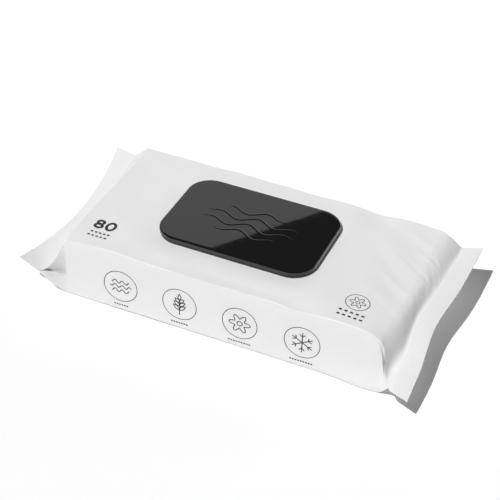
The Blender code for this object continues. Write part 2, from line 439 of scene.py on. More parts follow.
def film_place(hand, height):
    """The share and the layer of a height on the front (-1) or back (1) side panel."""
    drop = np.minimum(height, HEIGHT - height)
    reach = CREASE + drop * (HALF_LAP - CREASE) / (HEIGHT / 2)
    return hand * reach / HALF_LAP, np.where(height >= HEIGHT / 2, 1.0, -1.0)


def by_hand(side, share, name, index=None):
    """A corner setting of one end, the front one or the back one at every point."""
    front, back = (getattr(CORNERS[(side, hand)], name) for hand in (-1, 1))
    if index is not None:
        front, back = front[index], back[index]
    return np.where(share < 0, front, back) * 1.0


def between(height, heights, values):
    """Values joined by straight lines over heights, where both vary from point to point."""
    result = values[0].copy()
    for k in range(len(heights) - 1):
        part = np.clip((height - heights[k]) / (heights[k + 1] - heights[k]), 0.0, 1.0)
        if result.ndim > part.ndim:
            part = part[..., None]
        result += (values[k + 1] - values[k]) * part
    return result


def seal_place(side, share, layer):
    """Where a place round the lap lies in the seal: its share of the band, and its lift.

    Top and bottom fill the band up to their creases. Each side panel runs on to the tip,
    back in to the valley, out to the tip again and back to the other panel, so four
    layers lie over each other near the tips.
    """
    ones = np.ones_like(share)
    hand = np.where(share < 0, -1.0, 1.0)
    tuck = by_hand(side, share, "tuck")
    bottom, top = (by_hand(side, share, "crease", i) for i in range(2))
    heights = [by_hand(side, share, "finish", i) for i in range(5)]
    height = film_height(share, layer)
    place = between(height, heights, [bottom, ones, 1 - tuck, ones, top])
    lift = between(height, heights, [-ones, -0.8 * ones, 0 * ones, 0.8 * ones, ones])
    reach = np.abs(share) * HALF_LAP
    on_panel = reach <= CREASE
    place = np.where(on_panel, reach / CREASE * np.where(layer > 0, top, bottom), place)
    lift = np.where(on_panel, layer, lift)
    return hand * place, lift * FIN_HALF


def film_neck(side, run, share, layer):
    """The sloping end from the filled part (run 0) to the seal (run 1).

    Top and bottom are Bezier curves that leave along X and arrive in the seal's own
    direction. Each side panel is a folded strip between five such curves: the bottom
    fold, a lower fold, the valley pressed inwards, an upper fold and the top fold.
    """
    reach = np.abs(share) * HALF_LAP
    hand = np.where(share < 0, -1.0, 1.0)
    ones = np.ones_like(share)
    nearness = np.clip(reach / CREASE, 0.0, 1.0) ** 3
    upper_middle = (4.0, 0.0, 6.0, 0.0) if side < 0 else (7.0, 0.0, 3.0, 0.0)

    def handles(name, middle):
        """The handles on a panel: the corner's at the folds, other ones in the middle."""
        return [middle[i] + (by_hand(side, share, name, i) - middle[i]) * nearness
                for i in range(4)]

    place, lift = seal_place(side, share, layer)
    on_top, below = handles("upper", upper_middle), handles("bottom", (4.0, 0.0, 4.0, 0.0))
    shape = [np.where(layer > 0, high, low) for high, low in zip(on_top, below)]
    panel = neck_curve(side, run, share, layer, place, lift, shape, (0, 0))
    if side > 0:
        pulls = np.sin(share * 31 + 5 * run + 1.5 * np.sin(share * 9))
        pulls += 0.7 * np.sin(share * 53 + 8 * run + 2.0)
        calm = np.sin(math.pi * run) ** 2 * (1 - nearness) * (layer > 0)
        panel[..., 2] += 0.26 * calm * pulls

    def side_curve(index, place, lift, name, near=0.0, far=0.0, sink=0.0):
        """The curve of one fold of the side panel, from its height at the filled part."""
        begin = film_place(hand, by_hand(side, share, "start", index))
        shape = [by_hand(side, share, name, i) for i in range(4)]
        shape[1] = shape[1] + sink
        return neck_curve(side, run, *begin, hand * place, lift * FIN_HALF, shape,
                          (-hand * near, -hand * far))

    push = [by_hand(side, share, "push", i) for i in range(3)]
    tuck = by_hand(side, share, "tuck")
    bottom, top = (by_hand(side, share, "crease", i) for i in range(2))
    folds = [
        side_curve(0, bottom, -ones, "bottom"),
        side_curve(1, ones, -0.8 * ones, "lower"),
        side_curve(2, 1 - tuck, 0 * ones, "lower", *push),
        side_curve(3, ones, 0.8 * ones, "upper"),
        side_curve(4, top, ones, "upper"),
    ]
    starts = [by_hand(side, share, "start", i) for i in range(5)]
    heights = [first + (by_hand(side, share, "finish", i) - first) * run
               for i, first in enumerate(starts)]
    height = film_height(share, layer)
    strip = between(height, heights, folds)
    # the filled part's end is not straight between the folds: carry its shape along
    first_height = between(height, heights, starts)
    end = np.full_like(share, BODY_LEFT if side < 0 else BODY_RIGHT)
    corners = [film_body(end, *film_place(hand, start)) for start in starts]
    shape = film_body(end, *film_place(hand, first_height)) - between(first_height, starts, corners)
    fading = (1 - run) ** 3 + 3 * run * (1 - run) ** 2
    strip = strip + shape * fading[..., None]
    return np.where((reach > CREASE)[..., None], strip, panel)


FIN_HALF = 0.22                              # half the thickness of the two sealed layers
RIDGES = 10                                  # crimp ridges across a band
RIDGE_HEIGHT = 0.09
TEETH = 52                                   # teeth along a cut edge
TOOTH = 0.45


def film_fin(side, run, share, layer):
    """The crimped band: straight from its inner to its outer line, ridged and toothed.

    The ridges are a cosine across the band, and the cut edge is a triangle wave.
    """
    place, lift = seal_place(side, share, layer)
    inner, outer = seal_lines(side, place)
    across = outer - inner
    step = 0.01
    along = seal_lines(side, place + step)[0] - seal_lines(side, place - step)[0]
    normal = unit(np.cross(across, along))
    normal *= np.sign(normal[..., 2:3])
    wave = np.abs((place * TEETH / 2) % 1.0 - 0.5) * 2 - 0.5
    tooth = TOOTH * wave * smooth_step((run - 0.9) / 0.1)
    ridge_height = RIDGE_HEIGHT * (0.5 if side < 0 else 1.0)
    ridge = ridge_height * np.cos(2 * math.pi * RIDGES * run) * smooth_step(run / 0.06)
    seam = np.where(layer < 0, -0.25 * smooth_step((SEAM_HALF - np.abs(share * HALF_LAP)) / 0.5), 0.0)
    point = inner + across * run[..., None] + unit(across) * tooth[..., None]
    return point + normal * (lift + seam + ridge)[..., None]


def panel_steps(count):
    """Places across a panel from crease to crease (-1 to 1), closer at creases and seam."""
    fine = np.linspace(-1.0, 1.0, 4001)
    reach = np.abs(fine) * CREASE
    density = 1.0 + 2.5 * np.exp(-((reach - CREASE) / 2.0) ** 2) + np.exp(-((reach - 6.3) / 0.6) ** 2)
    total = np.cumsum(density)
    total = (total - total[0]) / (total[-1] - total[0])
    return np.interp(np.linspace(0.0, 1.0, count), total, fine)


def film_lap(panel_count, outer_count, inner_count):
    """The points round the lap: hand, fold number, place across a panel and layer.

    The lap starts at the front valley (fold number 2), climbs to the top crease (4),
    crosses the top, goes down the back and comes home under the bottom (crease 0). The
    mesh lines so follow the folds exactly. Places across a panel are 9 on the sides.
    """
    ease = np.linspace(0.0, 1.0, outer_count + 1)[:0:-1] ** 1.5
    climb = np.concatenate([np.linspace(2.0, 3.0, inner_count, endpoint=False), 4.0 - ease])
    panel = panel_steps(panel_count)
    aside = np.full_like(climb, 9.0)
    hand = np.concatenate([-np.ones_like(climb), np.sign(panel), np.ones_like(climb)])
    number = np.concatenate([climb, np.full_like(panel, 4.0), climb[::-1]])
    across = np.concatenate([aside, panel, aside])
    hand = np.concatenate([hand, hand[-2:0:-1]])
    number = np.concatenate([number, 4.0 - number[-2:0:-1]])
    across = np.concatenate([across, across[-2:0:-1]])
    layer = np.where(number >= 2.0, 1.0, -1.0)
    return hand, number, across, layer, len(climb) * 2 + panel_count


def film_points(panel_count, body_count, neck_count, fin_count):
    """All rings of the film, left cut edge to right, the ring size and its upper count."""
    hand, number, across, layer, upper_count = film_lap(panel_count, 9, 7)
    ease = 0.5 - 0.5 * np.cos(math.pi * np.linspace(0.0, 1.0, neck_count))
    fin_runs = np.linspace(0.0, 1.0, fin_count)

    def fold_heights(end, name):
        """Five fold heights round the lap, the front corner's or the back corner's."""
        return np.stack([by_hand(end, hand, name, i) for i in range(5)])

    def rings(runs, shape, first, last, travel):
        """One part of the film, its folds moving between two sets of heights."""
        heights = first + (last - first) * travel[:, None, None]
        lower = np.clip(np.floor(number).astype(int), 0, 3)
        column = np.arange(len(number))
        low, high = heights[:, lower, column], heights[:, lower + 1, column]
        side_share, side_layer = film_place(hand, low + (high - low) * (number - lower))
        on_side = np.abs(across) > 2
        share = np.where(on_side, side_share, across * CREASE / HALF_LAP)
        layers = np.where(on_side, side_layer, layer)
        run = np.broadcast_to(runs[:, None], share.shape)
        return shape(run, share, layers)

    left_start, left_seal = fold_heights(-1, "start"), fold_heights(-1, "finish")
    right_start, right_seal = fold_heights(1, "start"), fold_heights(1, "finish")
    body_runs = np.linspace(BODY_LEFT, BODY_RIGHT, body_count)
    still = np.ones(fin_count)
    parts = [
        rings(fin_runs[::-1], lambda r, s, l: film_fin(-1, r, s, l), left_seal, left_seal, still),
        rings(ease[::-1], lambda r, s, l: film_neck(-1, r, s, l), left_start, left_seal, ease[::-1]),
        rings(body_runs, film_body, left_start, right_start, np.linspace(0.0, 1.0, body_count)),
        rings(ease, lambda r, s, l: film_neck(1, r, s, l), right_start, right_seal, ease),
        rings(fin_runs, lambda r, s, l: film_fin(1, r, s, l), right_seal, right_seal, still),
    ]
    points = np.concatenate([parts[0][:-1], parts[1][:-1], parts[2], parts[3][1:], parts[4][1:]])
    return points, len(number), upper_count


def cap_faces(first, upper_count):
    """Quads and two triangles that close a flat end ring, from its first point's index."""
    size = 2 * upper_count - 2
    top = np.arange(1, upper_count - 2)
    low = (size - top) % size
    low_next = (size - top - 1) % size
    quads = np.stack([top, top + 1, low_next, low], -1) + first
    ends = [[first, first + 1, first + size - 1],
            [first + upper_count - 2, first + upper_count - 1, first + upper_count]]
    return quads.tolist() + ends


# ---------------------------------------------------------------- print

PRINT_LIFT = 0.05                            # how far print stands off the film
BADGES_MIDDLE = (-0.7, 17.3)                 # middle of the front row of badges: X and height
CAPTION_BARS = (6, 7, 9, 9)                  # bars under each front badge
CAPTION = {"pitch": 1.5, "length": 1.0, "width": 0.95}
NUMBER_CORNER = (-80.1, -34.4)               # lower left corner of the number on the top
NUMBER_HEIGHT = 8.0
NUMBER_LINE = 1.65
NUMBER_ROWS = ((-73.2, -37.7), (-73.6, -40.9))
NUMBER_BARS = {"pitch": 2.5, "length": 1.5, "width": 1.15}
TOP_BADGE = (74.4, -30.9)
TOP_BADGE_RADIUS = 6.4
TOP_BADGE_ROWS = (9.4, 13.0)                 # rows of bars, below the badge's middle
TOP_BADGE_BARS = {"pitch": 3.1, "length": 1.7, "width": 1.3}


def circle_path(centre, radius, steps=72):
    """A closed circle: centre plus radius times (cos, sin)."""
    angle = np.linspace(0.0, 2 * math.pi, steps, endpoint=False)
    return np.stack([centre[0] + radius * np.cos(angle), centre[1] + radius * np.sin(angle)], -1)


def ellipse_path(centre, half_x, half_y, steps=48):
    """A closed ellipse: centre plus (half_x times cos, half_y times sin)."""
    angle = np.linspace(0.0, 2 * math.pi, steps, endpoint=False)
    return np.stack([centre[0] + half_x * np.cos(angle), centre[1] + half_y * np.sin(angle)], -1)


def leaf_path(centre, length, width, turn, steps=24):
    """A closed leaf: half widths are a sine of the share along it, sharper at its tip."""
    t = np.linspace(0.0, 1.0, steps)
    half = width / 2 * np.sin(math.pi * t ** 0.8)
    x = np.concatenate([t, t[-2:0:-1]]) * length
    y = np.concatenate([half, -half[-2:0:-1]])
    return np.stack([centre[0] + x * math.cos(turn) - y * math.sin(turn),
                     centre[1] + x * math.sin(turn) + y * math.cos(turn)], -1)


def stroke(path, width, closed):
    """Points and quads of a flat line of even width along a path in the plane."""
    if closed:
        tangent = np.roll(path, -1, 0) - np.roll(path, 1, 0)
    else:
        tangent = np.gradient(path, axis=0)
    tangent = unit(tangent)
    normal = np.stack([-tangent[:, 1], tangent[:, 0]], -1) * width / 2
    points = np.stack([path - normal, path + normal], 1).reshape(-1, 2)
    faces = grid_faces(len(path), 2, closed_rows=closed)
    return points, faces


def joined(parts):
    """Several (points, faces) pairs as one."""
    points, faces, start = [], [], 0
    for part_points, part_faces in parts:
        points.append(part_points)
        faces += [[start + corner for corner in face] for face in part_faces]
        start += len(part_points)
    return np.concatenate(points), faces


def dashes(centre, count, pitch, length, width):
    """A row of short bars that stands where small lettering would."""
    rows = []
    for index in range(count):
        x = centre[0] + (index - (count - 1) / 2) * pitch
        path = np.array([[x - length / 2, centre[1]], [x + length / 2, centre[1]]])
        rows.append(stroke(path, width, False))
    return rows


def wave_motif(centre, line):
    """Three level waves in a round field."""
    strokes = []
    for level in (-3.0, 0.0, 3.0):
        half = 6.4 if level == 0.0 else 5.2
        x = np.linspace(-half, half, 40)
        path = np.stack([centre[0] + x, centre[1] + level + 0.95 * np.sin(x * 1.45)], -1)
        strokes.append(stroke(path, line, False))
    return strokes


def sprig_motif(centre, line):
    """A stem with three pairs of leaves and one at its tip."""
    x, y = centre
    stem = np.array([[x, y - 7.0], [x + 0.3, y - 2.0], [x, y + 3.2]])
    strokes = [stroke(stem, line, False)]
    for height, length in ((-3.6, 4.6), (-0.9, 4.2), (1.6, 3.4)):
        for turn in (math.radians(38), math.radians(142)):
            strokes.append(stroke(leaf_path((x, y + height), length, 1.9, turn), line, True))
    strokes.append(stroke(leaf_path((x, y + 3.2), 3.8, 1.8, math.pi / 2), line, True))
    return strokes


def blossom_motif(centre, line, size=1.0):
    """A flower: a closed polar curve with six lobes round a small ring."""
    angle = np.linspace(0.0, 2 * math.pi, 144, endpoint=False)
    radius = size * (4.6 + 1.5 * np.cos(6 * angle))
    petals = np.stack([centre[0] + radius * np.cos(angle), centre[1] + radius * np.sin(angle)], -1)
    return [stroke(petals, line, True), stroke(circle_path(centre, 1.5 * size, 36), line, True)]


def star_motif(centre, line):
    """A frost star: six arms, each with a pair of side branches."""
    strokes = []
    for arm in range(6):
        turn = math.radians(30 + 60 * arm)
        along = np.array([math.cos(turn), math.sin(turn)])
        tip = np.array(centre) + along * 6.6
        strokes.append(stroke(np.array([centre, tip]), line, False))
        for branch in (-1, 1):
            lean = turn + branch * math.radians(48)
            root = np.array(centre) + along * 3.8
            end = root + 2.2 * np.array([math.cos(lean), math.sin(lean)])
            strokes.append(stroke(np.array([root, end]), line, False))
    return strokes


def number_eighty(corner, height, line):
    """The plain number 80, drawn with ellipses, from its lower left corner."""
    x, y = corner
    half = height / 2 - line / 2
    small = height * 0.25 - line / 4
    eight_x = x + height * 0.36
    zero_x = x + height * 1.22
    middle = y + height / 2
    return [
        stroke(ellipse_path((eight_x, y + line / 2 + small), height * 0.27, small), line, True),
        stroke(ellipse_path((eight_x, y + height - line / 2 - small * 0.93), height * 0.23,
                            small * 0.93), line, True),
        stroke(ellipse_path((zero_x, middle), height * 0.30, half), line, True),
    ]


def on_front(points):
    """Put plane points (x, z) onto the film's front panel, a little in front of it."""
    x, z = points[:, 0], points[:, 1]
    upper = z >= HEIGHT / 2
    drop = np.where(upper, HEIGHT - EDGE - z, z - EDGE)
    share = -(FLAT + EDGE * math.pi / 2 + drop) / HALF_LAP
    layer = np.where(upper, 1.0, -1.0)
    place = film_body(x, share, layer)
    place[:, 1] -= PRINT_LIFT
    return place


def on_top(points):
    """Put plane points (x, y) onto the film's top panel, a little above it."""
    x, y = points[:, 0], points[:, 1]
    place = film_body(x, y / HALF_LAP, np.ones_like(x))
    place[:, 2] += PRINT_LIFT
    return place


# ---------------------------------------------------------------- lid surfaces

def rounded_ring(length, depth, radius, height, steps=14):
    """A rounded rectangle about the origin at one height: four quarter circles."""
    parts = []
    for turn, (sx, sy) in enumerate(((1, 1), (-1, 1), (-1, -1), (1, -1))):
        angle = np.linspace(0.0, math.pi / 2, steps) + turn * math.pi / 2
        x = sx * (length / 2 - radius) + radius * np.cos(angle)
        y = sy * (depth / 2 - radius) + radius * np.sin(angle)
        parts.append(np.stack([x, y, np.full(steps, height)], -1))
    return np.concatenate(parts)


def inset_rings(steps):
    """Rings of the lid's outline, each given as (inset from the outline, height)."""
    return [rounded_ring(LID_LENGTH - 2 * inset, LID_DEPTH - 2 * inset, LID_RADIUS - inset, height)
            for inset, height in steps]


def window_ring(offset, height):
    """The opening's outline, grown by an offset."""
    length, depth, radius = WINDOW
    return rounded_ring(length + 2 * offset, depth + 2 * offset, radius + offset, height)


def quarter_round(radius, inset, height, count=6):
    """(inset, height) steps up and over a rounded edge."""
    angle = np.linspace(0.0, math.pi / 2, count)
    return [(inset + radius * (1 - math.cos(a)), height - radius * (1 - math.sin(a)))
            for a in angle]


# ---------------------------------------------------------------- materials

def noise(tree, size, detail=2.0, **inputs):
    """Noise in the object's own space, with grains of about `size` millimetres."""
    place = add_node(tree, "ShaderNodeTexCoord").outputs["Object"]
    pattern = add_node(tree, "ShaderNodeTexNoise", inputs={
        "Vector": place, "Scale": 1 / (size * MM), "Detail": detail, **inputs})
    return pattern.outputs["Fac"]


def tone_between(tree, factor, low, high):
    """A colour that a factor carries from one to the other."""
    tone = add_node(tree, "ShaderNodeMix", {"data_type": "RGBA"}, {"Factor": factor})
    tone.inputs[6].default_value = (*low[:3], 1.0)
    tone.inputs[7].default_value = (*high[:3], 1.0)
    return tone.outputs[2]


def scaled(colour, share):
    """A colour made lighter or darker."""
    return [channel * share for channel in colour]


def film_material(settings):
    """Matt laminated PET/PE film, flow-wrapped: soft white with a faint satin lift.

    The matt lacquer has a grain of about 0.2 mm, drawn at 0.5 mm so that it shows, and
    the thin film shivers in soft ripples some 9 mm across.
    """
    material, tree = new_material("matt laminated film")
    grain = noise(tree, 0.5, Roughness=0.6)
    ripple = noise(tree, 9, Roughness=0.45, Distortion=0.4)
    colour = settings.film_colour
    soft = add_node(tree, "ShaderNodeBump", inputs={
        "Strength": 0.35, "Distance": 0.25 * MM, "Height": ripple})
    fine = add_node(tree, "ShaderNodeBump", inputs={
        "Strength": 0.12, "Distance": 0.05 * MM, "Height": grain,
        "Normal": soft.outputs["Normal"]})
    shader = add_node(tree, "ShaderNodeBsdfPrincipled", inputs={
        "Base Color": tone_between(tree, ripple, scaled(colour, 0.985), colour),
        "Roughness": 0.52, "IOR": 1.5, "Normal": fine.outputs["Normal"]})
    close_material(tree, shader)
    return material


def ink_material(settings):
    """Black flexographic ink under the matt lacquer: even, with no gloss of its own."""
    material, tree = new_material("black flexo ink")
    colour = settings.ink_colour
    shader = add_node(tree, "ShaderNodeBsdfPrincipled", inputs={
        "Base Color": tone_between(tree, noise(tree, 0.4), colour, scaled(colour, 1.5)),
        "Roughness": 0.55, "IOR": 1.5})
    close_material(tree, shader)
    return material


def lid_material(settings):
    """Injection-moulded black polypropylene from a polished tool: a mirror-like gloss.

    The mould's flow leaves shallow waves some 14 mm long, and handling leaves a fine
    unevenness in the gloss. Upright walls get a lighter grey base colour than the top: a
    painted reflection of the bright table that they mirror.
    """
    material, tree = new_material("polished black polypropylene")
    flow = noise(tree, 14, 1.0, Roughness=0.4)
    gloss = add_node(tree, "ShaderNodeMapRange", inputs={
        "Value": noise(tree, 3, 3.0), "From Min": 0.3, "From Max": 0.7,
        "To Min": 0.016, "To Max": 0.03})
    bump = add_node(tree, "ShaderNodeBump", inputs={
        "Strength": 0.1, "Distance": 0.05 * MM, "Height": flow})
    # painted reflection: upright walls, picked out by their normal, get a lighter base colour than
    # the top, standing in for the bright table they mirror
    facing = add_node(tree, "ShaderNodeSeparateXYZ", inputs={
        "Vector": add_node(tree, "ShaderNodeTexCoord").outputs["Normal"]})
    level = add_node(tree, "ShaderNodeMath", {"operation": "ABSOLUTE"}, {
        "Value": facing.outputs["Z"]})
    wall_reflection_mask = add_node(tree, "ShaderNodeMapRange", inputs={
        "Value": level.outputs["Value"], "From Min": 0.15, "From Max": 0.6})
    colour = settings.lid_colour
    tone = tone_between(tree, wall_reflection_mask.outputs["Result"], scaled(colour, WALL_PAINTED_REFLECTION), colour)
    shader = add_node(tree, "ShaderNodeBsdfPrincipled", inputs={
        "Base Color": tone, "Roughness": gloss.outputs["Result"],
        "IOR": 1.5, "Normal": bump.outputs["Normal"]})
    close_material(tree, shader)
    return material


def label_material():
    """Coated polypropylene label stock: satin, pale grey-blue, with a faint fine grain."""
    material, tree = new_material("coated label stock")
    tone = tone_between(tree, noise(tree, 0.6), linear("cfd6dc"), linear("d8dee3"))
    shader = add_node(tree, "ShaderNodeBsdfPrincipled", inputs={
        "Base Color": tone, "Roughness": 0.35, "IOR": 1.5})
    close_material(tree, shader)
    return material


def floor_material():
    """A plain white painted table: dull, and a touch uneven in tone."""
    material, tree = new_material("white painted table")
    tone = tone_between(tree, noise(tree, 125), (0.955, 0.955, 0.955), (0.965, 0.965, 0.965))
    shader = add_node(tree, "ShaderNodeBsdfPrincipled", inputs={
        "Base Color": tone, "Roughness": 0.9, "Specular IOR Level": 0.0})
    close_material(tree, shader)
    return material


def shared_material(name, make, *values):
    """A material made once and then used again."""
    return bpy.data.materials.get(name) or make(*values)


# ---------------------------------------------------------------- settings

class WipesPackSettings(bpy.types.PropertyGroup):
    """Sizes and colours of the pack."""
    film_colour: FloatVectorProperty(
        name="Film", description="Colour of the film", subtype="COLOR", size=3,
        default=linear("e2e2e2")[:3], min=0.0, max=1.0)
    ink_colour: FloatVectorProperty(
        name="Ink", description="Colour of the print", subtype="COLOR", size=3,
        default=linear("1d1d20")[:3], min=0.0, max=1.0)
    lid_colour: FloatVectorProperty(
        name="Lid", description="Colour of the lid's plastic", subtype="COLOR", size=3,
        default=linear("0f0f10")[:3], min=0.0, max=1.0)
    badge_radius: FloatProperty(
        name="Badge radius", description="Radius of the printed rings on the front",
        default=10.0 * MM, unit="LENGTH")
    badge_pitch: FloatProperty(
        name="Badge pitch", description="Distance between the printed rings",
        default=35.5 * MM, unit="LENGTH")
    line_width: FloatProperty(
        name="Line width", description="Width of the thin printed lines",
        default=0.42 * MM, unit="LENGTH")
    relief: FloatProperty(
        name="Relief", description="Height of the moulded ornament on the lid",
        default=0.28 * MM, unit="LENGTH")
    lap_points: IntProperty(
        name="Lap points", description="Points across the top of the film", default=150)
    body_rings: IntProperty(
        name="Body rings", description="Rings along the filled part of the film", default=92)


class StageSettings(bpy.types.PropertyGroup):
    """Light and camera."""
    sun_strength: FloatProperty(
        name="Sun", description="Strength of the key light", default=3.36)
    side_power: FloatProperty(
        name="Side", description="Power of the soft light behind on the right", default=1.6,
        subtype="POWER", unit="POWER")
    card_power: FloatProperty(
        name="Card", description="Power of the card mirrored in the lid", default=5.0,
        unit="POWER")
    lens: FloatProperty(
        name="Lens", description="Focal length of the camera in millimetres", default=96.9)


# ---------------------------------------------------------------- operators

class WIPES_OT_film(bpy.types.Operator):
    """Build the film with its sloping ends and crimped seals"""
    bl_idname = "wipes.film"
    bl_label = "Film"

    def execute(self, context):
        settings = context.scene.wipes_pack
        points, size, upper = film_points(settings.lap_points, settings.body_rings, 40, 41)
        rings = len(points)
        faces = grid_faces(rings, size, closed_columns=True)
        faces += cap_faces(0, upper)
        faces += cap_faces((rings - 1) * size, upper)
        material = shared_material("matt laminated film", film_material, settings)
        film = make_object("film", points.reshape(-1, 3), faces, material, "pack",
                           sharp=50)
        face_outwards(film)
        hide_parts("film_pack")
        return {"FINISHED"}


class WIPES_OT_print(bpy.types.Operator):
    """Print the rings, motifs, number and small rows of bars"""
    bl_idname = "wipes.print"
    bl_label = "Print"

    def execute(self, context):
        settings = context.scene.wipes_pack
        material = shared_material("black flexo ink", ink_material, settings)
        line = settings.line_width / MM
        radius = settings.badge_radius / MM
        pitch = settings.badge_pitch / MM
        middle_x, height = BADGES_MIDDLE
        front = []
        motifs = (wave_motif, sprig_motif, blossom_motif, star_motif)
        for index, (motif, bars) in enumerate(zip(motifs, CAPTION_BARS)):
            centre = (middle_x + (index - 1.5) * pitch, height)
            front.append(stroke(circle_path(centre, radius), line, True))
            front += motif(centre, 1.35 * line)
            front += dashes((centre[0], height - radius - 2.9), bars, **CAPTION)
        points, faces = joined(front)
        make_object("front_print", on_front(points), faces, material, "pack")

        top = number_eighty(NUMBER_CORNER, NUMBER_HEIGHT, NUMBER_LINE)
        for centre in NUMBER_ROWS:
            top += dashes(centre, 5, **NUMBER_BARS)
        top.append(stroke(circle_path(TOP_BADGE, TOP_BADGE_RADIUS), line, True))
        top += blossom_motif(TOP_BADGE, line, 0.72)
        for below in TOP_BADGE_ROWS:
            top += dashes((TOP_BADGE[0], TOP_BADGE[1] - below), 5, **TOP_BADGE_BARS)
        points, faces = joined(top)
        make_object("top_print", on_top(points), faces, material, "pack")
        return {"FINISHED"}


class WIPES_OT_lid_frame(bpy.types.Operator):
    """Build the lid's frame: a flange with a raised collar round the opening"""
    bl_idname = "wipes.lid_frame"
    bl_label = "Lid frame"

    def execute(self, context):
        material = shared_material("polished black polypropylene", lid_material,
                                   context.scene.wipes_pack)
        low = FRAME_LOW[2]
        flange = COVER_LOW[2] - 0.3
        top = FRAME_HIGH[2]
        over = 0.5
        rings = inset_rings([(over, low)] + quarter_round(0.3, over, flange, 4)
                            + [(over + 0.6, flange)])
        wall = COLLAR_WALL
        rings += [window_ring(wall + 0.5, flange), window_ring(wall, flange + 0.3),
                  window_ring(wall, top - 0.3), window_ring(wall - 0.3, top),
                  window_ring(0.3, top), window_ring(0.0, top - 0.3), window_ring(0.0, low)]
        points = np.stack(rings)
        faces = grid_faces(len(rings), points.shape[1], closed_rows=True, closed_columns=True)
        piece = make_object("lid_base", points.reshape(-1, 3), faces, material, "pack",
                            sharp=40)
        face_outwards(piece)
        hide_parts("lid_frame")
        return {"FINISHED"}


class WIPES_OT_lid_cover(bpy.types.Operator):
    """Build the flip-top cover: a shallow tray with rounded edges and a sealing rib"""
    bl_idname = "wipes.lid_cover"
    bl_label = "Lid cover"

    def execute(self, context):
        material = shared_material("polished black polypropylene", lid_material,
                                   context.scene.wipes_pack)
        low, high = COVER_LOW[2], COVER_HIGH[2]
        ceiling = high - 1.1
        skirt = 1.3
        rib_low = ceiling - 1.3
        rib_in = COLLAR_WALL + 0.3
        rib_out = rib_in + 1.0
        outside = [(skirt - 0.2, low), (0.2, low), (0.0, low + 0.2)]
        outside += quarter_round(0.7, 0.0, high, 8)
        outside += [(1.6, high), (12.0, high)]
        inside = [(skirt, low + 0.2), (skirt, ceiling - 0.4), (skirt + 0.4, ceiling)]
        rings = inset_rings(outside[::-1]) + inset_rings(inside)
        rings += [window_ring(rib_out + 0.3, ceiling), window_ring(rib_out, ceiling - 0.3),
                  window_ring(rib_out, rib_low + 0.3), window_ring(rib_out - 0.3, rib_low),
                  window_ring(rib_in + 0.3, rib_low), window_ring(rib_in, rib_low + 0.3),
                  window_ring(rib_in, ceiling), window_ring(-6.0, ceiling)]
        points = np.stack(rings)
        count = points.shape[1]
        faces = grid_faces(len(rings), count, closed_columns=True)
        faces += [list(range(count)), list(range((len(rings) - 1) * count, len(rings) * count))]
        piece = make_object("flip_top_cover", points.reshape(-1, 3), faces, material, "lid",
                            sharp=40)
        face_outwards(piece)
        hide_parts("lid_cover")
        return {"FINISHED"}


ORNAMENT_WAVES = (                           # place across the lid, half length and phase
    (10.2, 18.0, 0.0), (3.4, 27.0, 0.9), (-3.4, 27.0, 1.8), (-10.2, 18.0, 2.7))
ORNAMENT_HALF_WIDTH = 0.85


class WIPES_OT_relief(bpy.types.Operator):
    """Raise the moulded wave ornament on the cover"""
    bl_idname = "wipes.relief"
    bl_label = "Lid ornament"

    def execute(self, context):
        settings = context.scene.wipes_pack
        material = shared_material("polished black polypropylene", lid_material, settings)
        high = COVER_HIGH[2]
        relief = settings.relief / MM
        sunk = 0.05
        steps = 7
        across = np.linspace(-1.0, 1.0, steps)
        parts = []
        for level, half, phase in ORNAMENT_WAVES:
            x = np.linspace(-half, half, 160)
            taper = np.cos(math.pi / 2 * x / half) ** 0.5 + 0.02
            path = np.stack([x, level + 2.6 * np.sin(x / 3.6 + phase) * taper], -1)
            tangent = unit(np.gradient(path, axis=0))
            normal = np.stack([-tangent[:, 1], tangent[:, 0]], -1)
            width = ORNAMENT_HALF_WIDTH * taper
            xy = path[:, None] + normal[:, None] * (across[None, :, None] * width[:, None, None])
            dome = np.sqrt(1 - across ** 2) * np.minimum(taper * 2, 1)[:, None]
            z = high - sunk + (relief + sunk) * dome
            grid = np.concatenate([xy, z[..., None]], -1)
            parts.append((grid.reshape(-1, 3), grid_faces(len(x), steps)))
        points, faces = joined(parts)
        make_object("cover_ornament", points, faces, material, "lid")
        return {"FINISHED"}


class WIPES_OT_hinge(bpy.types.Operator):
    """Build the three thin webs that join the cover to the frame"""
    bl_idname = "wipes.hinge"
    bl_label = "Living hinge"

    def execute(self, context):
        material = shared_material("polished black polypropylene", lid_material,
                                   context.scene.wipes_pack)
        back = HINGE[1]
        middle = HINGE[2]
        turn = np.linspace(-math.pi / 2, math.pi / 2, 13)
        outer = np.stack([back - 0.3 + 0.75 * np.cos(turn), middle + 0.55 * np.sin(turn)], -1)
        inner = np.stack([back - 0.3 + 0.45 * np.cos(turn), middle + 0.28 * np.sin(turn)], -1)
        loop = np.concatenate([outer, inner[::-1]])
        size = len(loop)
        stations = 9
        parts = []
        for centre in (-27.0, 0.0, 27.0):
            x = np.linspace(centre - 7.5, centre + 7.5, stations)
            web = np.concatenate([np.broadcast_to(x[:, None, None], (stations, size, 1)),
                                  np.broadcast_to(loop, (stations, size, 2))], -1)
            web_faces = grid_faces(stations, size, closed_columns=True)
            web_faces += [list(range(size)), list(range((stations - 1) * size, stations * size))]
            parts.append((web.reshape(-1, 3), web_faces))
        points, faces = joined(parts)
        piece = make_object("hinge_webs", points, faces, material, None,
                            sharp=40)
        face_outwards(piece)
        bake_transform(piece)
        return {"FINISHED"}


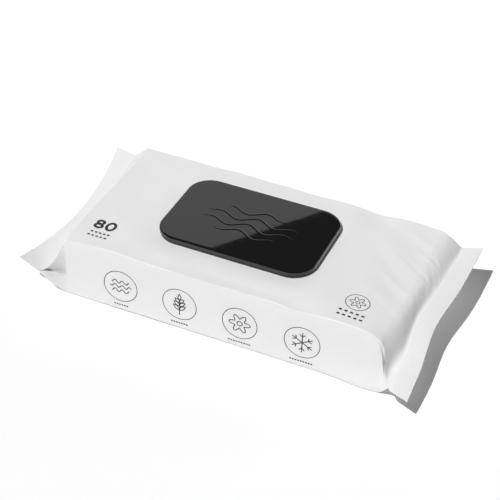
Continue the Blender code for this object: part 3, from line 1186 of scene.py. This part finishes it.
class WIPES_OT_label(bpy.types.Operator):
    """Finish the peel-off seal over the opening and print its arrow"""
    bl_idname = "wipes.label"
    bl_label = "Peel-off seal"

    def execute(self, context):
        label = frame["nodes"]["peel_seal"]
        label.data.materials.clear()
        label.data.materials.append(shared_material("coated label stock", label_material))
        ink = shared_material("black flexo ink", ink_material, context.scene.wipes_pack)
        high = LABEL_TOP + 0.03
        arrow = [stroke(np.array([[17.0, 0.0], [26.5, 0.0]]), 0.5, False),
                 stroke(np.array([[24.0, 2.4], [26.5, 0.0]]), 0.5, False),
                 stroke(np.array([[24.0, -2.4], [26.5, 0.0]]), 0.5, False)]
        points, faces = joined(arrow)
        points = np.column_stack([points, np.full(len(points), high)])
        make_object("peel_arrow", points, faces, ink, "pack")
        return {"FINISHED"}


def area_lamp(name, length, height, power, matrix):
    """A rectangular lamp that the camera doesn't see, only its light."""
    light = bpy.data.lights.new(name, "AREA")
    light.shape = "RECTANGLE"
    light.size = length
    light.size_y = height
    light.energy = power
    lamp = bpy.data.objects.new(name, light)
    lamp.visible_camera = False
    lamp.matrix_world = matrix
    bpy.context.scene.collection.objects.link(lamp)


class WIPES_OT_stage(bpy.types.Operator):
    """Set up the table, the lights and the camera"""
    bl_idname = "wipes.stage"
    bl_label = "Stage"

    def execute(self, context):
        settings = context.scene.wipes_stage
        scene = context.scene
        scene.view_settings.view_transform = "Standard"

        mesh = bpy.data.meshes.new("table")
        half = 30.0
        mesh.from_pydata([(-half, -half, 0), (half, -half, 0), (half, half, 0), (-half, half, 0)],
                         [], [(0, 1, 2, 3)])
        mesh.materials.append(floor_material())
        table = bpy.data.objects.new("table", mesh)
        scene.collection.objects.link(table)

        sun = bpy.data.lights.new("key", "SUN")
        sun.energy = settings.sun_strength
        sun.angle = math.radians(1.2)
        key = bpy.data.objects.new("key", sun)
        travel = Vector((0.22, 0.62, -1.0))
        key.rotation_euler = travel.to_track_quat("-Z", "Y").to_euler()
        scene.collection.objects.link(key)

        place = Vector((0.66, 0.74, 0.34))
        turn = (-place).to_track_quat("-Z", "Y").to_matrix().to_4x4()
        area_lamp("side", 0.5, 0.26, settings.side_power, Matrix.Translation(place) @ turn)

        # the long edge that the card hangs down from is mirrored as the end of the lid's grey
        edge = Vector((0.813, 0.0, -0.583))
        down = Vector((-0.583, 0.0, -0.813))
        length, height = 1.8, 1.0
        centre = Vector((-0.458, 1.2, 0.993)) + down * (height / 2)
        turn = Matrix((-edge, -down, edge.cross(down))).transposed().to_4x4()
        area_lamp("card", length, height, settings.card_power, Matrix.Translation(centre) @ turn)

        world = bpy.data.worlds.new("studio")
        world.use_nodes = True
        tree = world.node_tree
        tree.nodes.clear()
        direction = add_node(tree, "ShaderNodeTexCoord").outputs["Generated"]
        height_of = add_node(tree, "ShaderNodeSeparateXYZ", inputs={"Vector": direction})
        ramp = add_node(tree, "ShaderNodeMapRange", {"interpolation_type": "SMOOTHSTEP"}, {
            "Value": height_of.outputs["Z"], "From Min": 0.03, "From Max": 0.17,
            "To Min": 0.93, "To Max": 0.085})
        facing = add_node(tree, "ShaderNodeMapRange", {"interpolation_type": "SMOOTHSTEP"}, {
            "Value": height_of.outputs["Y"], "From Min": -0.68, "From Max": 0.0,
            "To Min": 0.0, "To Max": 1.0})
        strength = add_node(tree, "ShaderNodeMath", {"operation": "MULTIPLY"}, {
            0: ramp.outputs["Result"], 1: facing.outputs["Result"]})
        sky = add_node(tree, "ShaderNodeBackground", inputs={
            "Color": (1.0, 1.0, 1.0, 1.0), "Strength": strength.outputs[0]})
        add_node(tree, "ShaderNodeOutputWorld", inputs={"Surface": sky.outputs[0]})
        scene.world = world

        lens = bpy.data.cameras.new("camera")
        lens.lens = settings.lens
        lens.sensor_width = 36.0
        camera = bpy.data.objects.new("camera", lens)
        azimuth, elevation, roll = (math.radians(a) for a in (21.95, 37.24, 2.7))
        back = Vector((math.sin(azimuth) * math.cos(elevation),
                       -math.cos(azimuth) * math.cos(elevation), math.sin(elevation)))
        right = Vector((math.cos(azimuth), math.sin(azimuth), 0.0))
        up = back.cross(right)
        right_rolled = right * math.cos(roll) + up * math.sin(roll)
        up_rolled = up * math.cos(roll) - right * math.sin(roll)
        turn = Matrix((right_rolled, up_rolled, back)).transposed().to_4x4()
        camera.matrix_world = Matrix.Translation((0.22346, -0.55357, 0.47938)) @ turn
        scene.collection.objects.link(camera)
        scene.camera = camera
        return {"FINISHED"}


class WIPES_PT_panel(bpy.types.Panel):
    """The pack's sizes, colours and parts"""
    bl_label = "Wipes Pack"
    bl_space_type = "VIEW_3D"
    bl_region_type = "UI"
    bl_category = "Wipes Pack"

    def draw(self, context):
        layout = self.layout
        for group in (context.scene.wipes_pack, context.scene.wipes_stage):
            for name in group.__annotations__:
                layout.prop(group, name)
        for operator in PIECE_OPERATORS:
            layout.operator(operator.bl_idname)


PIECE_OPERATORS = (WIPES_OT_film, WIPES_OT_print, WIPES_OT_lid_frame, WIPES_OT_lid_cover,
                   WIPES_OT_relief, WIPES_OT_hinge, WIPES_OT_label, WIPES_OT_stage)
CLASSES = (WipesPackSettings, StageSettings, *PIECE_OPERATORS, WIPES_PT_panel)


def register():
    """Register the classes and hang the settings on the scene."""
    for item in CLASSES:
        bpy.utils.register_class(item)
    bpy.types.Scene.wipes_pack = PointerProperty(type=WipesPackSettings)
    bpy.types.Scene.wipes_stage = PointerProperty(type=StageSettings)


def unregister():
    """Take everything off again."""
    del bpy.types.Scene.wipes_pack
    del bpy.types.Scene.wipes_stage
    for item in reversed(CLASSES):
        bpy.utils.unregister_class(item)


def main():
    """Build the pack and its stage."""
    register()
    for item in list(bpy.data.objects):
        if item.name in ("Cube", "Light", "Camera"):
            bpy.data.objects.remove(item, do_unlink=True)
    bpy.ops.wipes.film()
    bpy.ops.wipes.print()
    bpy.ops.wipes.lid_frame()
    bpy.ops.wipes.lid_cover()
    bpy.ops.wipes.relief()
    bpy.ops.wipes.hinge()
    bpy.ops.wipes.label()
    bpy.ops.wipes.stage()


if __name__ == "__main__":
    main()
